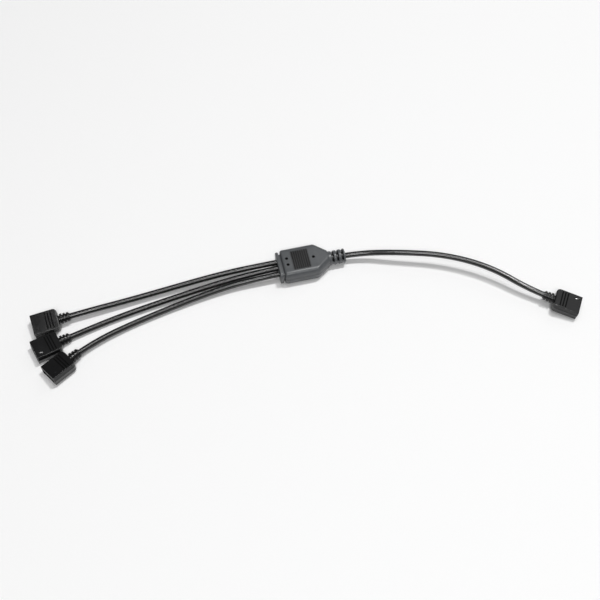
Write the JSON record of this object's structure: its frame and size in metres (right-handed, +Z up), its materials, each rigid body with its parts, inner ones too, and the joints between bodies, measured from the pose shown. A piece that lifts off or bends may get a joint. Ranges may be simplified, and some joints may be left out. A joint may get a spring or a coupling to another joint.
{
  "type": "argb splitter cable",
  "caption": "Black lighting splitter cable: a trunk plug feeds a flat moulded junction hub with a slotted strain relief, and branch cables fan out from it to matching plugs.",
  "frame": {"origin": "on the table under the middle of the junction hub", "axes": "+X along the hub from the branch cables to the trunk cable, +Z up off the table, +Y to the left"},
  "size_m": [0.298, 0.0748, 0.0106],
  "materials": {
    "cable_jacket": "smooth satin jacket",
    "hub_moulding": "fine matte grain",
    "plug_moulding": "fine matte grain",
    "contact_block": "plain hard moulding",
    "contact_metal": "thin plating",
    "splice_metal": "pressed band",
    "core_5v": "smooth insulation",
    "core_data": "smooth insulation",
    "core_ground": "smooth insulation"
  },
  "bodies": {
    "root": {"branch_a_cable": "cable_jacket", "branch_a_plug_contact_5v": "contact_metal", "branch_a_plug_contact_block": "contact_block", "branch_a_plug_contact_data": "contact_metal", "branch_a_plug_contact_ground": "contact_metal", "branch_a_plug_core_5v": "core_5v", "branch_a_plug_core_data": "core_data", "branch_a_plug_core_ground": "core_ground", "branch_a_plug_overmould": "plug_moulding", "branch_b_cable": "cable_jacket", "branch_b_plug_contact_5v": "contact_metal", "branch_b_plug_contact_block": "contact_block", "branch_b_plug_contact_data": "contact_metal", "branch_b_plug_contact_ground": "contact_metal", "branch_b_plug_core_5v": "core_5v", "branch_b_plug_core_data": "core_data", "branch_b_plug_core_ground": "core_ground", "branch_b_plug_overmould": "plug_moulding", "branch_c_cable": "cable_jacket", "branch_c_plug_contact_5v": "contact_metal", "branch_c_plug_contact_block": "contact_block", "branch_c_plug_contact_data": "contact_metal", "branch_c_plug_contact_ground": "contact_metal", "branch_c_plug_core_5v": "core_5v", "branch_c_plug_core_data": "core_data", "branch_c_plug_core_ground": "core_ground", "branch_c_plug_overmould": "plug_moulding", "hub_branch_a_core_5v": "core_5v", "hub_branch_a_core_data": "core_data", "hub_branch_a_core_ground": "core_ground", "hub_branch_b_core_5v": "core_5v", "hub_branch_b_core_data": "core_data", "hub_branch_b_core_ground": "core_ground", "hub_branch_c_core_5v": "core_5v", "hub_branch_c_core_data": "core_data", "hub_branch_c_core_ground": "core_ground", "hub_overmould": "hub_moulding", "hub_splice_5v": "splice_metal", "hub_splice_data": "splice_metal", "hub_splice_ground": "splice_metal", "hub_trunk_core_5v": "core_5v", "hub_trunk_core_data": "core_data", "hub_trunk_core_ground": "core_ground", "trunk_cable": "cable_jacket", "trunk_plug_contact_5v": "contact_metal", "trunk_plug_contact_block": "contact_block", "trunk_plug_contact_data": "contact_metal", "trunk_plug_contact_ground": "contact_metal", "trunk_plug_core_5v": "core_5v", "trunk_plug_core_data": "core_data", "trunk_plug_core_ground": "core_ground", "trunk_plug_overmould": "plug_moulding"}
  },
  "joints": []
}
